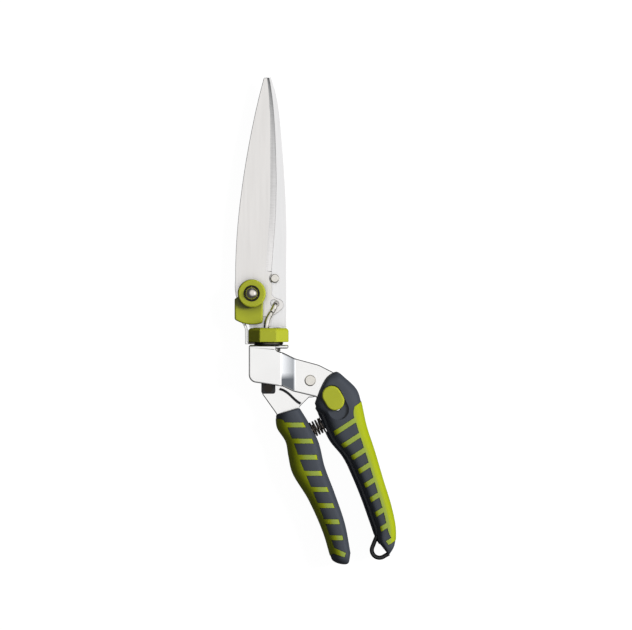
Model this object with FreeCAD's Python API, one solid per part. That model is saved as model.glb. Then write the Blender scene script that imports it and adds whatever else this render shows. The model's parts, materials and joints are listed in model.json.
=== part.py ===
import FreeCAD, Part
import math
import os

from FreeCAD import Vector

# One-handed grass shears with a swivelling head, in millimetres.
# While the pieces are made, the Y axis is the swivel axis, Y = 0 is the underside of the green
# collar and Z = 0 is the mid-plane of the lever. At the end every piece is shifted, so that the
# origin is under the middle of the whole tool as it lies on its back, blades along +Y, +Z up.

# Rivets, pins and cuts that go right through a piece
PIN_R = 2.0
THROUGH = 20.0

# Swivel
COLLAR_FLATS = 28.2
COLLAR_HEIGHT = 9.8
SPINDLE_R = 6.0
SPINDLE_BORE_R = 4.6
RUNNING_FIT = 0.06
LEAF_R = 10.4

# Blades, as levels along Z
BLADE_THICKNESS = 2.0
FIXED_BLADE_Z = -6.6
MOVING_BLADE_Z = -4.5
BRACKET_BACK_Z = -8.6
BLADE_TIP_Y = 185.5
BLADE_PIVOT = Vector(-11.5, 34.0, 0)
BOLT_R = 3.0
STUD_TOP = 0.4
RIVET_TOP = -5.4

# Main bracket, a U of sheet steel whose two sides come together at the pivot rivet
SHEET = 2.5
BOX_HALF_DEPTH = 12.0
CHEEK_INNER_Z = 2.3
RIVET = Vector(29.3, -26.9, 0)
RIVET_R = 3.0
RIVET_HEAD_R = 3.6
WEB_TOP = -2.1

# Lever, pull rod and how far they travel
LEVER_THICKNESS = 3.0
BOSS_R = 12.0
LEVER_EDGE_R = 0.8
ROD_R = 1.9
ROD_PIN = Vector(0, -32.3, 0)
EYE = Vector(5.1, 26.7, 0)
SQUEEZE_DEG = 18.0
BLADE_DEG = 30.5

# Grips
GRIP_HALF_DEPTH = 12.0
GRIP_EDGE_R = 3.6
INLAY_DEPTH = 1.4
STRIPE_WIDTH = 3.3
LOCK_START = Vector(45.35, -39.05, 0)
LOCK_TRAVEL = Vector(2.6, -6.0, 0)
BUTTON_R = 6.7
BUTTON_LENGTH = Vector(2.3, -3.9, 0)
TRACK_DEPTH = 3.0

# Return spring between the grips
SPRING_MIDDLE = Vector(34.2, -59.9, 0)
SPRING_AXIS = Vector(0.89, 0.45, 0)
SPRING_LENGTH = 9.6
SPRING_R = 5.0
SPRING_WIRE_R = 0.75
SPRING_TURNS = 4.5
POCKET_DEPTH = 6.0

# Hanging loop
LOOP_R = 1.5
LOOP_CENTRE = Vector(77.9, -145.9, 0)
LOOP_BEND_R = 5.4

UP = Vector(0, 0, 1)


def xy(points, z=0.0):
    """Points in the plane at height z."""
    return [Vector(x, y, z) for x, y in points]


def rod_travel():
    """How far the pull rod rises as the handle opens from closed to its stop."""
    arm = RIVET.x - ROD_PIN.x
    below = RIVET.y - ROD_PIN.y
    closed = math.atan2(below, arm)
    return below + arm * math.tan(math.radians(SQUEEZE_DEG) - closed)


def rounded(points, radii):
    """Closed wire through the points, with corner i rounded to radii[i] (0 leaves it sharp)."""
    edges = []
    ends = []
    count = len(points)
    for i, corner in enumerate(points):
        before = (points[i - 1] - corner).normalize()
        after = (points[(i + 1) % count] - corner).normalize()
        radius = radii[i] if isinstance(radii, (list, tuple)) else radii
        if radius <= 0:
            ends.append((corner, corner, None))
            continue
        half = before.getAngle(after) / 2
        reach = radius / math.tan(half)
        centre = corner + (before + after).normalize() * (radius / math.sin(half))
        middle = centre + (corner - centre).normalize() * radius
        ends.append((corner + before * reach, corner + after * reach, middle))
    for i, (start, stop, middle) in enumerate(ends):
        if middle is not None:
            edges.append(Part.Arc(start, middle, stop).toShape())
        following = ends[(i + 1) % count][0]
        if (following - stop).Length > 1e-6:
            edges.append(Part.LineSegment(stop, following).toShape())
    return Part.Wire(edges)


def curve(points):
    """Smooth edge through the points."""
    spline = Part.BSplineCurve()
    spline.interpolate(points)
    return spline.toShape()


def line(start, stop):
    """Straight edge."""
    return Part.LineSegment(start, stop).toShape()


def prism(wire, low, high):
    """Solid with the wire's outline, from height low to height high."""
    face = Part.Face(wire)
    solid = face.extrude(UP * (high - low))
    solid.translate(UP * (low - wire.BoundBox.ZMin))
    return solid


def block(x0, x1, y0, y1, z0, z1):
    """Box between two corners."""
    return Part.makeBox(x1 - x0, y1 - y0, z1 - z0, Vector(x0, y0, z0))


def disc(centre, radius, low, high):
    """Upright cylinder."""
    return Part.makeCylinder(radius, high - low, Vector(centre.x, centre.y, low), UP)


def along_y(radius, low, high):
    """Cylinder on the swivel axis."""
    return Part.makeCylinder(radius, high - low, Vector(0, low, 0), Vector(0, 1, 0))


def stadium(start, stop, radius, low, high):
    """Upright slot shape round two centres."""
    across = UP.cross(stop - start).normalize() * radius
    ahead = (stop - start).normalize() * radius
    edges = [
        line(start + across, stop + across),
        Part.Arc(stop + across, stop + ahead, stop - across).toShape(),
        line(stop - across, start - across),
        Part.Arc(start - across, start - ahead, start + across).toShape(),
    ]
    return prism(Part.Wire(edges), low, high)


def edges_where(solid, test):
    """Edges whose box passes the test."""
    return [edge for edge in solid.Edges if test(edge.BoundBox)]


def polar(centre, radius, degrees):
    """Point at a distance and an angle from the centre."""
    angle = math.radians(degrees)
    return centre + Vector(radius * math.cos(angle), radius * math.sin(angle), 0)


# ---------------------------------------------------------------- blades and head


def moving_blade_back():
    """Left edge of the moving blade, from its widest place up to the tip."""
    return curve(xy([(-23.3, 43.4), (-22.4, 72.1), (-19.2, 104.3), (-15.75, 127.4),
                     (-8.3, 165.2), (-3.2, BLADE_TIP_Y)]))


def moving_blade_edge():
    """Cutting edge of the moving blade, from the tip down to the heel of the bevel."""
    return curve(xy([(0.6, BLADE_TIP_Y), (2.6, 172.6), (4.6, 147.7), (5.5, 118.0),
                     (4.9, 86.8), (3.2, 64.0), (2.2, 49.5)]))


def moving_blade_wire():
    """Outline of the moving blade with its heel and the ear for the pull rod."""
    heel = xy([(2.2, 49.5), (2.6, 46.0), (2.6, 33.0), (4.2, 31.3), (8.6, 29.6)])
    edges = [moving_blade_back(), line(Vector(-3.2, BLADE_TIP_Y, 0), Vector(0.6, BLADE_TIP_Y, 0)),
             moving_blade_edge()]
    edges += [line(a, b) for a, b in zip(heel, heel[1:])]
    edges.append(Part.Arc(heel[-1], Vector(10.6, 26.4, 0), Vector(9.0, 22.6, 0)).toShape())
    edges.append(line(Vector(9.0, 22.6, 0), Vector(4.5, 19.2, 0)))
    edges.append(curve(xy([(4.5, 19.2), (-3.0, 17.6), (-11.5, 19.5), (-19.2, 24.0),
                           (-22.6, 31.0), (-23.3, 43.4)])))
    return Part.Wire(edges)


def bevel(edge_wire, depth, width, top):
    """Ground bevel: a wedge that takes the top corner off along a cutting edge on the right."""
    inner = [edge_wire.valueAt(edge_wire.FirstParameter
                               + (edge_wire.LastParameter - edge_wire.FirstParameter) * t / 6)
             for t in range(7)]
    wires = []
    for i, at in enumerate(inner):
        reach = width * min(1.0, 0.35 + 0.25 * i)
        points = [Vector(at.x - reach, at.y, top), Vector(at.x + 3, at.y, top + 3 * depth / reach),
                  Vector(at.x + 3, at.y, top - depth - 3 * depth / reach)]
        wires.append(Part.makePolygon(points + [points[0]]))
    return Part.makeLoft(wires, True, False)


def blade_pin_slot():
    """Oblong slot in the ear, which lets the straight-moving rod turn the blade."""
    away = (EYE - BLADE_PIVOT).normalize()
    inner = EYE - away * (away * (EYE - BLADE_PIVOT) - (EYE.x - BLADE_PIVOT.x))
    return stadium(EYE, inner, ROD_R + 0.35, MOVING_BLADE_Z - 1, MOVING_BLADE_Z + 3)


def stud_place():
    """Centre of the stop stud."""
    return Vector(4.4, 44.6, 0)


def make_moving_blade():
    """Upper blade, with a ground bevel on its right edge."""
    top = MOVING_BLADE_Z + BLADE_THICKNESS
    blade = prism(moving_blade_wire(), MOVING_BLADE_Z, top)
    blade = blade.cut(bevel(moving_blade_edge(), BLADE_THICKNESS * 0.8, 4.2, top))
    blade = blade.cut(disc(BLADE_PIVOT, BOLT_R + RUNNING_FIT, MOVING_BLADE_Z - 1, top + 1))
    blade = blade.cut(disc(stud_place(), 3.6, MOVING_BLADE_Z - 1, top + 1))
    return blade.cut(blade_pin_slot())


def make_fixed_blade():
    """Lower blade, which is part of the swivelling head and reaches down to the collar."""
    right = curve(xy([(1.5, BLADE_TIP_Y + 0.4), (5.5, 172.6), (8.4, 150.5), (10.9, 118.0),
                      (12.3, 90.0), (12.4, 60.0)]))
    left = curve(xy([(-21.4, 43.4), (-20.4, 72.1), (-17.3, 104.3), (-13.9, 127.4),
                     (-6.6, 165.2), (-1.5, BLADE_TIP_Y + 0.4)]))
    foot = xy([(12.4, 60.0), (12.4, COLLAR_HEIGHT + 0.2), (-13.6, COLLAR_HEIGHT + 0.2),
               (-13.6, 15.0), (-21.4, 19.0), (-21.4, 43.4)])
    edges = [left, line(Vector(-1.5, BLADE_TIP_Y + 0.4, 0), Vector(1.5, BLADE_TIP_Y + 0.4, 0)), right]
    edges += [line(a, b) for a, b in zip(foot, foot[1:])]
    blade = prism(Part.Wire(edges), FIXED_BLADE_Z, FIXED_BLADE_Z + BLADE_THICKNESS)
    blade = blade.cut(disc(BLADE_PIVOT, BOLT_R, FIXED_BLADE_Z - 1, MOVING_BLADE_Z))
    blade = blade.cut(disc(stud_place(), PIN_R, FIXED_BLADE_Z - 1, MOVING_BLADE_Z))
    for place in tang_rivet_places():
        blade = blade.cut(disc(place, PIN_R, FIXED_BLADE_Z - 1, RIVET_TOP))
    return blade


def tang_rivet_places():
    """Two rivets that fasten the fixed blade to the head bracket."""
    return xy([(7.6, 52.0), (7.6, 16.5)])


def make_stop_stud():
    """Riveted stud that the moving blade closes against."""
    stud = disc(stud_place(), 3.15, MOVING_BLADE_Z + 0.02, STUD_TOP)
    stud = stud.makeFillet(1.0, edges_where(stud, lambda b: b.ZMin > STUD_TOP - 0.1))
    return stud.fuse(disc(stud_place(), PIN_R, FIXED_BLADE_Z, MOVING_BLADE_Z + 0.1)).removeSplitter()


def make_head_bracket():
    """Steel bracket: a back plate behind the fixed blade, a leaf under the collar, a side strap."""
    back = prism(rounded(xy([(-18, 14), (-8.5, 12), (-8.5, -1.5), (8.5, -1.5), (8.5, 12),
                             (11.5, 15), (11.5, 57), (-18, 46)]), [2, 0, 0, 0, 0, 1.5, 5, 6]),
                 BRACKET_BACK_Z, FIXED_BLADE_Z)
    leaf = along_y(LEAF_R, -1.5, -0.05).common(block(-14, 14, -2, 1, BRACKET_BACK_Z, 13.4))
    leaf = leaf.fuse(block(-16.2, -6, -1.5, -0.05, -5, 5))
    strap = block(-16.2, -14.8, -1.5, 8, -5, 5)
    neck = [Vector(-16.2, 8, 0), Vector(-17.0, 11.0, 0), Vector(-18.8, 13.2, 0)]
    inner = [Vector(-14.8, 8, 0), Vector(-15.5, 11.4, 0), Vector(-17.6, 14.3, 0)]
    wire = Part.Wire([curve(neck), line(neck[2], inner[2]), curve(inner[::-1]),
                      line(inner[0], neck[0])])
    strap = strap.fuse(prism(wire, -5, 5)).fuse(prism(wire, BRACKET_BACK_Z, -5 + 0.2))
    strap = strap.cut(block(-20, -13, 11.8, 20, FIXED_BLADE_Z + 0.2, 6))
    bracket = back.fuse([leaf, strap]).cut(along_y(SPINDLE_R + RUNNING_FIT, -3, 1))
    bracket = bracket.cut(along_y(9.2, 7.7, COLLAR_HEIGHT + 1))
    bracket = bracket.cut(disc(BLADE_PIVOT, BOLT_R, BRACKET_BACK_Z - 1, FIXED_BLADE_Z + 1))
    for place in tang_rivet_places():
        bracket = bracket.cut(disc(place, PIN_R, BRACKET_BACK_Z - 1, FIXED_BLADE_Z + 1))
    return bracket.removeSplitter()


def make_tang_rivets():
    """Studs let into the fixed blade from the back, with low riveted heads behind the bracket."""
    rivets = []
    for place in tang_rivet_places():
        rivet = disc(place, PIN_R, BRACKET_BACK_Z, RIVET_TOP)
        head = disc(place, 3.6, BRACKET_BACK_Z - 1.3, BRACKET_BACK_Z)
        head = head.makeFillet(0.8, edges_where(head, lambda b: b.ZMax < BRACKET_BACK_Z - 1.2))
        rivets.append(rivet.fuse(head).removeSplitter())
    return Part.makeCompound(rivets)


def make_collar():
    """Green octagonal collar round the spindle; its back is slotted for the bracket's plate."""
    corner_r = COLLAR_FLATS / 2 / math.cos(math.pi / 8)
    corners = [Vector(corner_r * math.sin(a), 0, corner_r * math.cos(a))
               for a in [math.pi / 8 + i * math.pi / 4 for i in range(8)]]
    face = Part.Face(Part.makePolygon(corners + [corners[0]]))
    collar = face.extrude(Vector(0, COLLAR_HEIGHT, 0))
    top = edges_where(collar, lambda b: b.YMin > COLLAR_HEIGHT - 0.01)
    collar = collar.makeChamfer(1.6, top)
    bottom = edges_where(collar, lambda b: b.YMax < 0.01)
    collar = collar.makeFillet(0.5, bottom)
    collar = collar.cut(along_y(SPINDLE_R + RUNNING_FIT, -1, COLLAR_HEIGHT + 1))
    collar = collar.cut(along_y(9.2, 7.7, COLLAR_HEIGHT + 1))
    return collar.cut(block(-8.6, 8.6, -1, COLLAR_HEIGHT + 1, BRACKET_BACK_Z - 0.1, FIXED_BLADE_Z + 0.1))


def make_spindle():
    """Hollow steel spindle riveted into the bracket's web; the head turns on it."""
    tube = along_y(SPINDLE_R, WEB_TOP - SHEET, 9.2)
    foot = along_y(8.4, WEB_TOP - SHEET - 1.8, WEB_TOP - SHEET)
    spindle = tube.fuse(foot)
    return spindle.cut(along_y(SPINDLE_BORE_R, -10, 12)).removeSplitter()


def make_spindle_ring():
    """Retaining ring pressed on the top of the spindle, sunk into the collar."""
    ring = along_y(8.8, 7.9, 9.2)
    return ring.cut(along_y(SPINDLE_R, 7, 10))


def make_swivel_washer():
    """Black washer between the bracket's web and the turning leaf."""
    washer = along_y(LEAF_R - 0.4, WEB_TOP + 0.02, -1.56)
    return washer.cut(along_y(SPINDLE_R + 0.1, -3, 0))


def cover_wire():
    """Outline of the green cover: a round top about the bolt and a squarish lower part."""
    top = BLADE_PIVOT + Vector(0, 8.6, 0)
    left = BLADE_PIVOT + Vector(-8.4, -1.8, 0)
    right = BLADE_PIVOT + Vector(8.4, -1.8, 0)
    lower = xy([(-23.6, 30.2), (-23.6, 16.8), (-22.3, 15.0), (-17.2, 12.9), (-11.6, 12.1),
                (-5.4, 13.0), (-3.9, 14.6), (-3.7, 30.2)])
    return Part.Wire([
        Part.Arc(right, top, left).toShape(),
        line(left, lower[0]),
        line(lower[0], lower[1]),
        Part.Arc(lower[1], Vector(-23.2, 15.7, 0), lower[2]).toShape(),
        Part.Arc(lower[2], lower[3], lower[4]).toShape(),
        Part.Arc(lower[4], Vector(-8.4, 12.3, 0), lower[5]).toShape(),
        Part.Arc(lower[5], Vector(-4.4, 13.6, 0), lower[6]).toShape(),
        line(lower[6], lower[7]),
        line(lower[7], right),
    ])


def make_pivot_cover():
    """Green cover over the heel of the moving blade, with a skirt down the blade's left side."""
    low = MOVING_BLADE_Z + BLADE_THICKNESS + 0.2
    cover = prism(cover_wire(), low, 5.0)
    cover = cover.makeFillet(1.2, edges_where(cover, lambda b: b.ZMin > 4.9))
    skirt = block(-23.6, -21.8, 17.0, 25.0, FIXED_BLADE_Z, low + 0.5)
    cover = cover.fuse(skirt).removeSplitter()
    return cover.cut(disc(BLADE_PIVOT, BOLT_R + 0.1, -10, 10))


def make_pivot_knob():
    """Round green knob on the cover, with a deep recess for the nut."""
    knob = disc(BLADE_PIVOT, 9.8, 5.02, 10.4)
    knob = knob.makeFillet(1.3, edges_where(knob, lambda b: b.ZMin > 10.3))
    knob = knob.cut(disc(BLADE_PIVOT, 5.7, 6.6, 12))
    return knob.cut(disc(BLADE_PIVOT, BOLT_R + 0.1, 4, 10))


def make_pivot_bolt():
    """Bolt from the back through bracket, blades, cover and knob."""
    shank = disc(BLADE_PIVOT, BOLT_R, BRACKET_BACK_Z, 10.6)
    head = disc(BLADE_PIVOT, 5.6, BRACKET_BACK_Z - 2.8, BRACKET_BACK_Z)
    head = head.makeFillet(1.2, edges_where(head, lambda b: b.ZMax < BRACKET_BACK_Z - 2.7))
    return shank.fuse(head).removeSplitter()


def make_pivot_washer():
    """Spring washer under the nut."""
    washer = disc(BLADE_PIVOT, 5.2, 6.62, 7.5)
    return washer.cut(disc(BLADE_PIVOT, BOLT_R, 6, 8))


def make_pivot_nut():
    """Dome nut: a hexagon with a flange and a round cap."""
    corners = [polar(BLADE_PIVOT, 4.7, 30 + 60 * i) for i in range(6)]
    nut = prism(Part.makePolygon(corners + [corners[0]]), 7.52, 10.4)
    nut = nut.fuse(disc(BLADE_PIVOT, 4.9, 7.52, 8.3))
    dome = Part.makeSphere(4.6, BLADE_PIVOT + UP * 9.6)
    dome = dome.common(disc(BLADE_PIVOT, 4.9, 9.0, 15))
    nut = nut.fuse(dome)
    return nut.cut(disc(BLADE_PIVOT, BOLT_R, 7, 10.7)).removeSplitter()


# ---------------------------------------------------------------- pull rod


def make_pull_rod():
    """Bent wire: its hook is in the blade's ear and its headed foot turns in the clevis."""
    path = xy([(0, -8), (-0.9, 2), (-1.4, 10), (-0.6, 15), (1.3, 19), (4.0, 23.6)])
    bend_start = path[-1]
    heading = (EYE - bend_start).normalize()
    spine = Part.Wire([line(Vector(0, -22, 0), path[0]), curve(path)])
    section = Part.Wire(Part.makeCircle(ROD_R, Vector(0, -22, 0), Vector(0, 1, 0)))
    lower = spine.makePipeShell([section], True, True)
    reach = (EYE - bend_start).Length
    turn = Part.Arc(bend_start, bend_start + heading * reach * math.sin(math.pi / 4)
                    - UP * reach * (1 - math.cos(math.pi / 4)), EYE - UP * reach).toShape()
    ring = Part.Wire(Part.makeCircle(ROD_R, bend_start, heading))
    hook = Part.Wire(turn).makePipeShell([ring], True, True)
    tip = disc(EYE, ROD_R, MOVING_BLADE_Z + 0.05, -reach)
    foot = along_y(3.0, -23.8, -21.2)
    rod = lower.fuse([hook, Part.makeSphere(ROD_R, bend_start), tip, foot])
    return rod.removeSplitter()


def make_rod_clevis():
    """Black fork on the foot of the rod; the lever's end sits in its slot."""
    fork = prism(rounded(xy([(-4.9, -36.2), (4.9, -36.2), (4.9, -19), (-4.9, -19)]), [1.6, 1.6, 1, 1]),
                 -5, 5)
    fork = fork.makeFillet(0.8, edges_where(fork, lambda b: b.ZMin > 4.9 or b.ZMax < -4.9))
    slot = block(-6, 6, -40, -25.4, -LEVER_THICKNESS / 2 - 0.2, LEVER_THICKNESS / 2 + 0.2)
    fork = fork.cut(slot)
    fork = fork.cut(along_y(ROD_R + RUNNING_FIT, -22, -18))
    fork = fork.cut(along_y(3.0 + 0.1, -24.0, -21.0))
    return fork.cut(disc(ROD_PIN, PIN_R, -6, 6))


def make_clevis_pin():
    """Cross pin of the clevis, with low round heads."""
    pin = disc(ROD_PIN, PIN_R, -5.0, 5.0)
    heads = [disc(ROD_PIN, 2.9, 5.0, 5.9), disc(ROD_PIN, 2.9, -5.9, -5.0)]
    return pin.fuse(heads).removeSplitter()


# ---------------------------------------------------------------- main bracket


def cheek_profile():
    """Sheet of one cheek seen from below: it steps in from the box to the rivet plates."""
    outer = xy([(-14, BOX_HALF_DEPTH), (8.6, BOX_HALF_DEPTH), (19.0, CHEEK_INNER_Z + SHEET),
                (90, CHEEK_INNER_Z + SHEET), (90, CHEEK_INNER_Z),
                (17.9, CHEEK_INNER_Z), (7.5, BOX_HALF_DEPTH - SHEET), (-14, BOX_HALF_DEPTH - SHEET)])
    return rounded(outer, [0, 4.0, 2.0, 0, 0, 4.5, 1.5, 0])


def bracket_outline():
    """Outline of a cheek seen from the front, with the tang that runs down inside the grip."""
    points = xy([(-13.5, WEB_TOP), (-13.5, -27.6), (10.2, -31.0), (17.6, -34.7), (33.3, -38.4),
                 (50.5, -60.0), (71.5, -110.0), (79.0, -107.0), (63.0, -62.0), (58.5, -38.0),
                 (46.0, -21.5), (35.3, -16.1), (19.0, -11.7), (10.6, -7.7), (6.6, -6.4), (5.2, -5.0),
                 (5.2, WEB_TOP)])
    return rounded(points, [0, 5.5, 0, 0, 3, 0, 4, 4, 0, 6, 9, 14, 12, 0, 0, 0.8, 0])


def lock_slot(radius, low, high):
    """Slot that the lock pin travels in, a little longer than the pin needs."""
    return stadium(LOCK_START, LOCK_START + LOCK_TRAVEL * 1.3, radius, low, high)


def make_main_bracket():
    """Folded bracket: a web under the swivel, two cheeks, and both tang plates."""
    sheet = Part.Face(cheek_profile()).extrude(UP * 130)
    sheet.rotate(Vector(), Vector(1, 0, 0), 90)
    cheek = sheet.common(prism(bracket_outline(), -THROUGH, THROUGH))
    front = cheek
    rear = cheek.mirror(Vector(), UP)
    web = block(-13.5, 14.0, WEB_TOP - SHEET, WEB_TOP, -BOX_HALF_DEPTH, BOX_HALF_DEPTH)
    web = web.cut(block(5.2, 15, -10, 0, BOX_HALF_DEPTH - SHEET - 0.3, 15))
    web = web.cut(block(5.2, 15, -10, 0, -15, -BOX_HALF_DEPTH + SHEET + 0.3))
    bracket = web.fuse([front, rear]).removeSplitter()
    folds = edges_where(bracket, lambda b: b.YMin > WEB_TOP - 0.01 and b.YMax < WEB_TOP + 0.01
                        and b.XLength > 15 and abs(b.ZMax) > BOX_HALF_DEPTH - 0.01 and b.ZLength < 0.1)
    if folds:
        bracket = bracket.makeFillet(1.8, folds)
    bracket = bracket.cut(along_y(SPINDLE_R, -8, 1))
    bracket = bracket.cut(disc(RIVET, RIVET_R, -THROUGH, THROUGH))
    bracket = bracket.cut(lock_slot(PIN_R + 0.3, -THROUGH, THROUGH))
    for place in right_pin_places():
        bracket = bracket.cut(disc(place, PIN_R, -THROUGH, THROUGH))
    return bracket


def make_pivot_rivet():
    """Main pivot: a rivet with flat round heads, on which the lever turns."""
    outer = CHEEK_INNER_Z + SHEET
    rivet = disc(RIVET, RIVET_R, -outer, outer)
    top = outer + 1.2
    heads = [disc(RIVET, RIVET_HEAD_R, outer, top), disc(RIVET, RIVET_HEAD_R, -top, -outer)]
    heads = [head.makeFillet(0.5, edges_where(head, lambda b: abs(b.ZMax) > top - 0.1
                                              and abs(b.ZMin) > top - 0.1)) for head in heads]
    return rivet.fuse(heads).removeSplitter()


def make_lever_washers():
    """Two thin washers between the lever and the cheeks."""
    half = LEVER_THICKNESS / 2
    washers = []
    for low in (half + 0.05, -CHEEK_INNER_Z + 0.05):
        washer = disc(RIVET, 7.0, low, low + CHEEK_INNER_Z - half - 0.1)
        washers.append(washer.cut(disc(RIVET, RIVET_R + 0.02, -5, 5)))
    return Part.makeCompound(washers)


# ---------------------------------------------------------------- lever


def lever_outline():
    """Outline of the lever: rod end, tang inside the left grip, and the side towards the boss."""
    points = xy([(-4.6, -28.4), (-4.3, -36.6), (5.0, -49.6), (9.6, -58.0), (27.0, -100.0),
                 (34.5, -97.0), (26.0, -62.0), (21.4, -45.8), (29.3, -38.0), (29.3, -15.0),
                 (14.0, -20.8), (5.8, -28.4)])
    return rounded(points, [2.5, 2.5, 0, 3, 4, 4, 6, 2, 0, 0, 3, 2])


def make_lever():
    """Flat steel lever with a round boss, a stiffening flange and a catch nose for the lock."""
    half = LEVER_THICKNESS / 2
    plates = [prism(lever_outline(), -half, half), disc(RIVET, BOSS_R, -half, half)]
    plates = [plate.makeFillet(LEVER_EDGE_R, edges_where(plate, lambda b: b.ZMin > half - 0.01))
              for plate in plates]
    lever = plates[0].fuse(plates[1])
    toward_lock = (LOCK_START - RIVET).normalize()
    nose = prism(Part.makePolygon([RIVET + UP.cross(toward_lock) * 4,
                                   RIVET + toward_lock * 17 + UP.cross(toward_lock) * 2.5,
                                   RIVET + toward_lock * 17 - UP.cross(toward_lock) * 2.5,
                                   RIVET - UP.cross(toward_lock) * 4,
                                   RIVET + UP.cross(toward_lock) * 4]), -half, half)
    crest = xy([(8.2, -32.1), (11.0, -33.0), (15.2, -35.9), (19.4, -39.9), (23.1, -42.4)])
    drop = Vector(-0.9, -1.55, 0)
    flange = Part.Wire([curve(crest), line(crest[-1], crest[-1] + drop),
                        curve([p + drop for p in crest[::-1]]), line(crest[0] + drop, crest[0])])
    lever = lever.fuse([nose, prism(flange, half - 0.5, 4.6)]).removeSplitter()
    lever = lever.cut(disc(RIVET, RIVET_R + RUNNING_FIT, -5, 5))
    inward = (RIVET - ROD_PIN).normalize()
    lever = lever.cut(stadium(ROD_PIN, ROD_PIN + inward * 0.5, PIN_R + 0.25, -5, 5))
    for place in left_pin_places():
        lever = lever.cut(disc(place, PIN_R, -5, 5))
    return lever


def left_pin_places():
    """Pins through the left grip and the lever's tang."""
    return xy([(17.0, -64.5), (27.5, -89.5)])


def right_pin_places():
    """Pins through the right grip and the bracket's tang plates."""
    return xy([(60.0, -71.5), (71.0, -99.5)])


def make_grip_pins(places):
    """Steel pins that end just under the surface at the back of a grip."""
    pins = [disc(place, PIN_R, -GRIP_HALF_DEPTH + 0.4, 5.0) for place in places]
    return Part.makeCompound(pins)


# ---------------------------------------------------------------- grips


def left_grip_wire():
    """Outline of the left grip: a finger-shaped left side and a gently curved right side."""
    left = xy([(4.9, -50.6), (5.9, -60.0), (12.0, -70.0), (13.9, -80.0), (16.6, -91.5),
               (28.1, -110.8), (38.2, -133.6), (43.0, -149.6)])
    right = xy([(57.9, -148.0), (54.0, -127.5), (46.4, -105.0), (39.8, -87.5), (35.4, -70.0),
                (28.6, -56.7), (21.8, -45.6)])
    tip = xy([(43.0, -149.6), (44.7, -153.3), (50.4, -155.9), (56.0, -155.4), (57.9, -148.0)])
    return Part.Wire([curve(left), curve(tip), curve(right), line(right[-1], left[0])])


def right_grip_wire():
    """Outline of the right grip: a broad round head for the lock and a slim curved tail."""
    left = xy([(84.4, -149.9), (80.2, -144.6), (74.6, -137.0), (71.0, -127.4), (65.4, -111.6),
               (58.4, -94.3), (51.9, -81.0), (42.2, -68.7), (35.6, -53.2), (31.9, -43.0)])
    head = xy([(31.9, -43.0), (36.4, -31.2), (41.2, -23.6), (47.6, -20.5), (54.1, -25.0),
               (62.4, -33.4), (65.6, -43.0)])
    right = xy([(65.6, -43.0), (69.0, -58.8), (74.6, -76.0), (80.7, -96.6), (86.5, -115.6),
                (89.4, -131.0), (88.6, -142.5), (84.4, -149.9)])
    return Part.Wire([curve(left), curve(head), curve(right)])


def grip_body(wire):
    """Full grip with rounded edges, before the inlay and the pockets are taken out."""
    body = prism(wire, -GRIP_HALF_DEPTH, GRIP_HALF_DEPTH)
    rims = edges_where(body, lambda b: b.ZLength < 0.01)
    return body.makeFillet(GRIP_EDGE_R, rims)


def inlay_from(body, pattern, inner):
    """Soft inlay: the surface layer of the body under the pattern."""
    return body.common(pattern).cut(inner)


def left_band():
    """Green band down the left side of the left grip; its lower end turns into a slanting stripe."""
    inner = xy([(8.2, -53.7), (10.8, -55.0), (16.4, -67.2), (22.5, -83.3), (27.4, -95.2),
                (38.5, -123.0), (45.8, -143.6)])
    rest = xy([(45.8, -143.6), (54.2, -147.0), (53.3, -150.0), (45.2, -147.6), (43.0, -149.8),
               (20.0, -149.6), (-10.0, -120.0), (-10.0, -53.7), (8.2, -53.7)])
    edges = [curve(inner)] + [line(a, b) for a, b in zip(rest, rest[1:])]
    return prism(Part.Wire(edges), -THROUGH, THROUGH)


def left_stripes(wire):
    """Level stripes from the band to just inside the right side."""
    rows = [block(8, 70, y - STRIPE_WIDTH / 2, y + STRIPE_WIDTH / 2, -THROUGH, THROUGH)
            for y in [-57.8 - 11.25 * i for i in range(8)]]
    inset = prism(wire, -THROUGH, THROUGH)
    inset.translate(Vector(-3.9, 0, 0))
    return Part.makeCompound(rows).common(inset)


def right_band():
    """Green band down the right side of the right grip."""
    inner = xy([(66.0, -41.0), (60.9, -44.1), (59.6, -50.0), (61.2, -56.0), (66.6, -72.8),
                (74.3, -97.3), (80.6, -118.3), (86.0, -136.5), (92.0, -139.5)])
    edges = [curve(inner), line(inner[-1], Vector(100, -130, 0)),
             line(Vector(100, -130, 0), Vector(100, -41, 0)), line(Vector(100, -41, 0), inner[0])]
    return prism(Part.Wire(edges), -THROUGH, THROUGH)


def right_stripes(wire):
    """Slanting stripes from the band to well inside the left side."""
    slant = Vector(0.84, 0.545, 0)
    across = Vector(-0.545, 0.84, 0) * (STRIPE_WIDTH / 2)
    rows = []
    for i in range(9):
        end = Vector(60.2 + 3.3 * i, -54.75 - 10.4 * i, 0) + slant * 3
        start = end - slant * 24
        corners = [start + across, end + across, end - across, start - across]
        rows.append(prism(Part.makePolygon(corners + [corners[0]]), -THROUGH, THROUGH))
    inset = prism(wire, -THROUGH, THROUGH)
    inset.translate(Vector(6.4, 0, 0))
    return Part.makeCompound(rows).common(inset)


def spring_pocket(sign):
    """Round pocket in a grip for one end of the spring, a hair deeper than the spring needs."""
    axis = SPRING_AXIS.normalize() * sign
    start = SPRING_MIDDLE + axis * (SPRING_LENGTH / 2 - POCKET_DEPTH)
    return Part.makeCylinder(SPRING_R + 0.9, POCKET_DEPTH + 0.1, start, axis)


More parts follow.
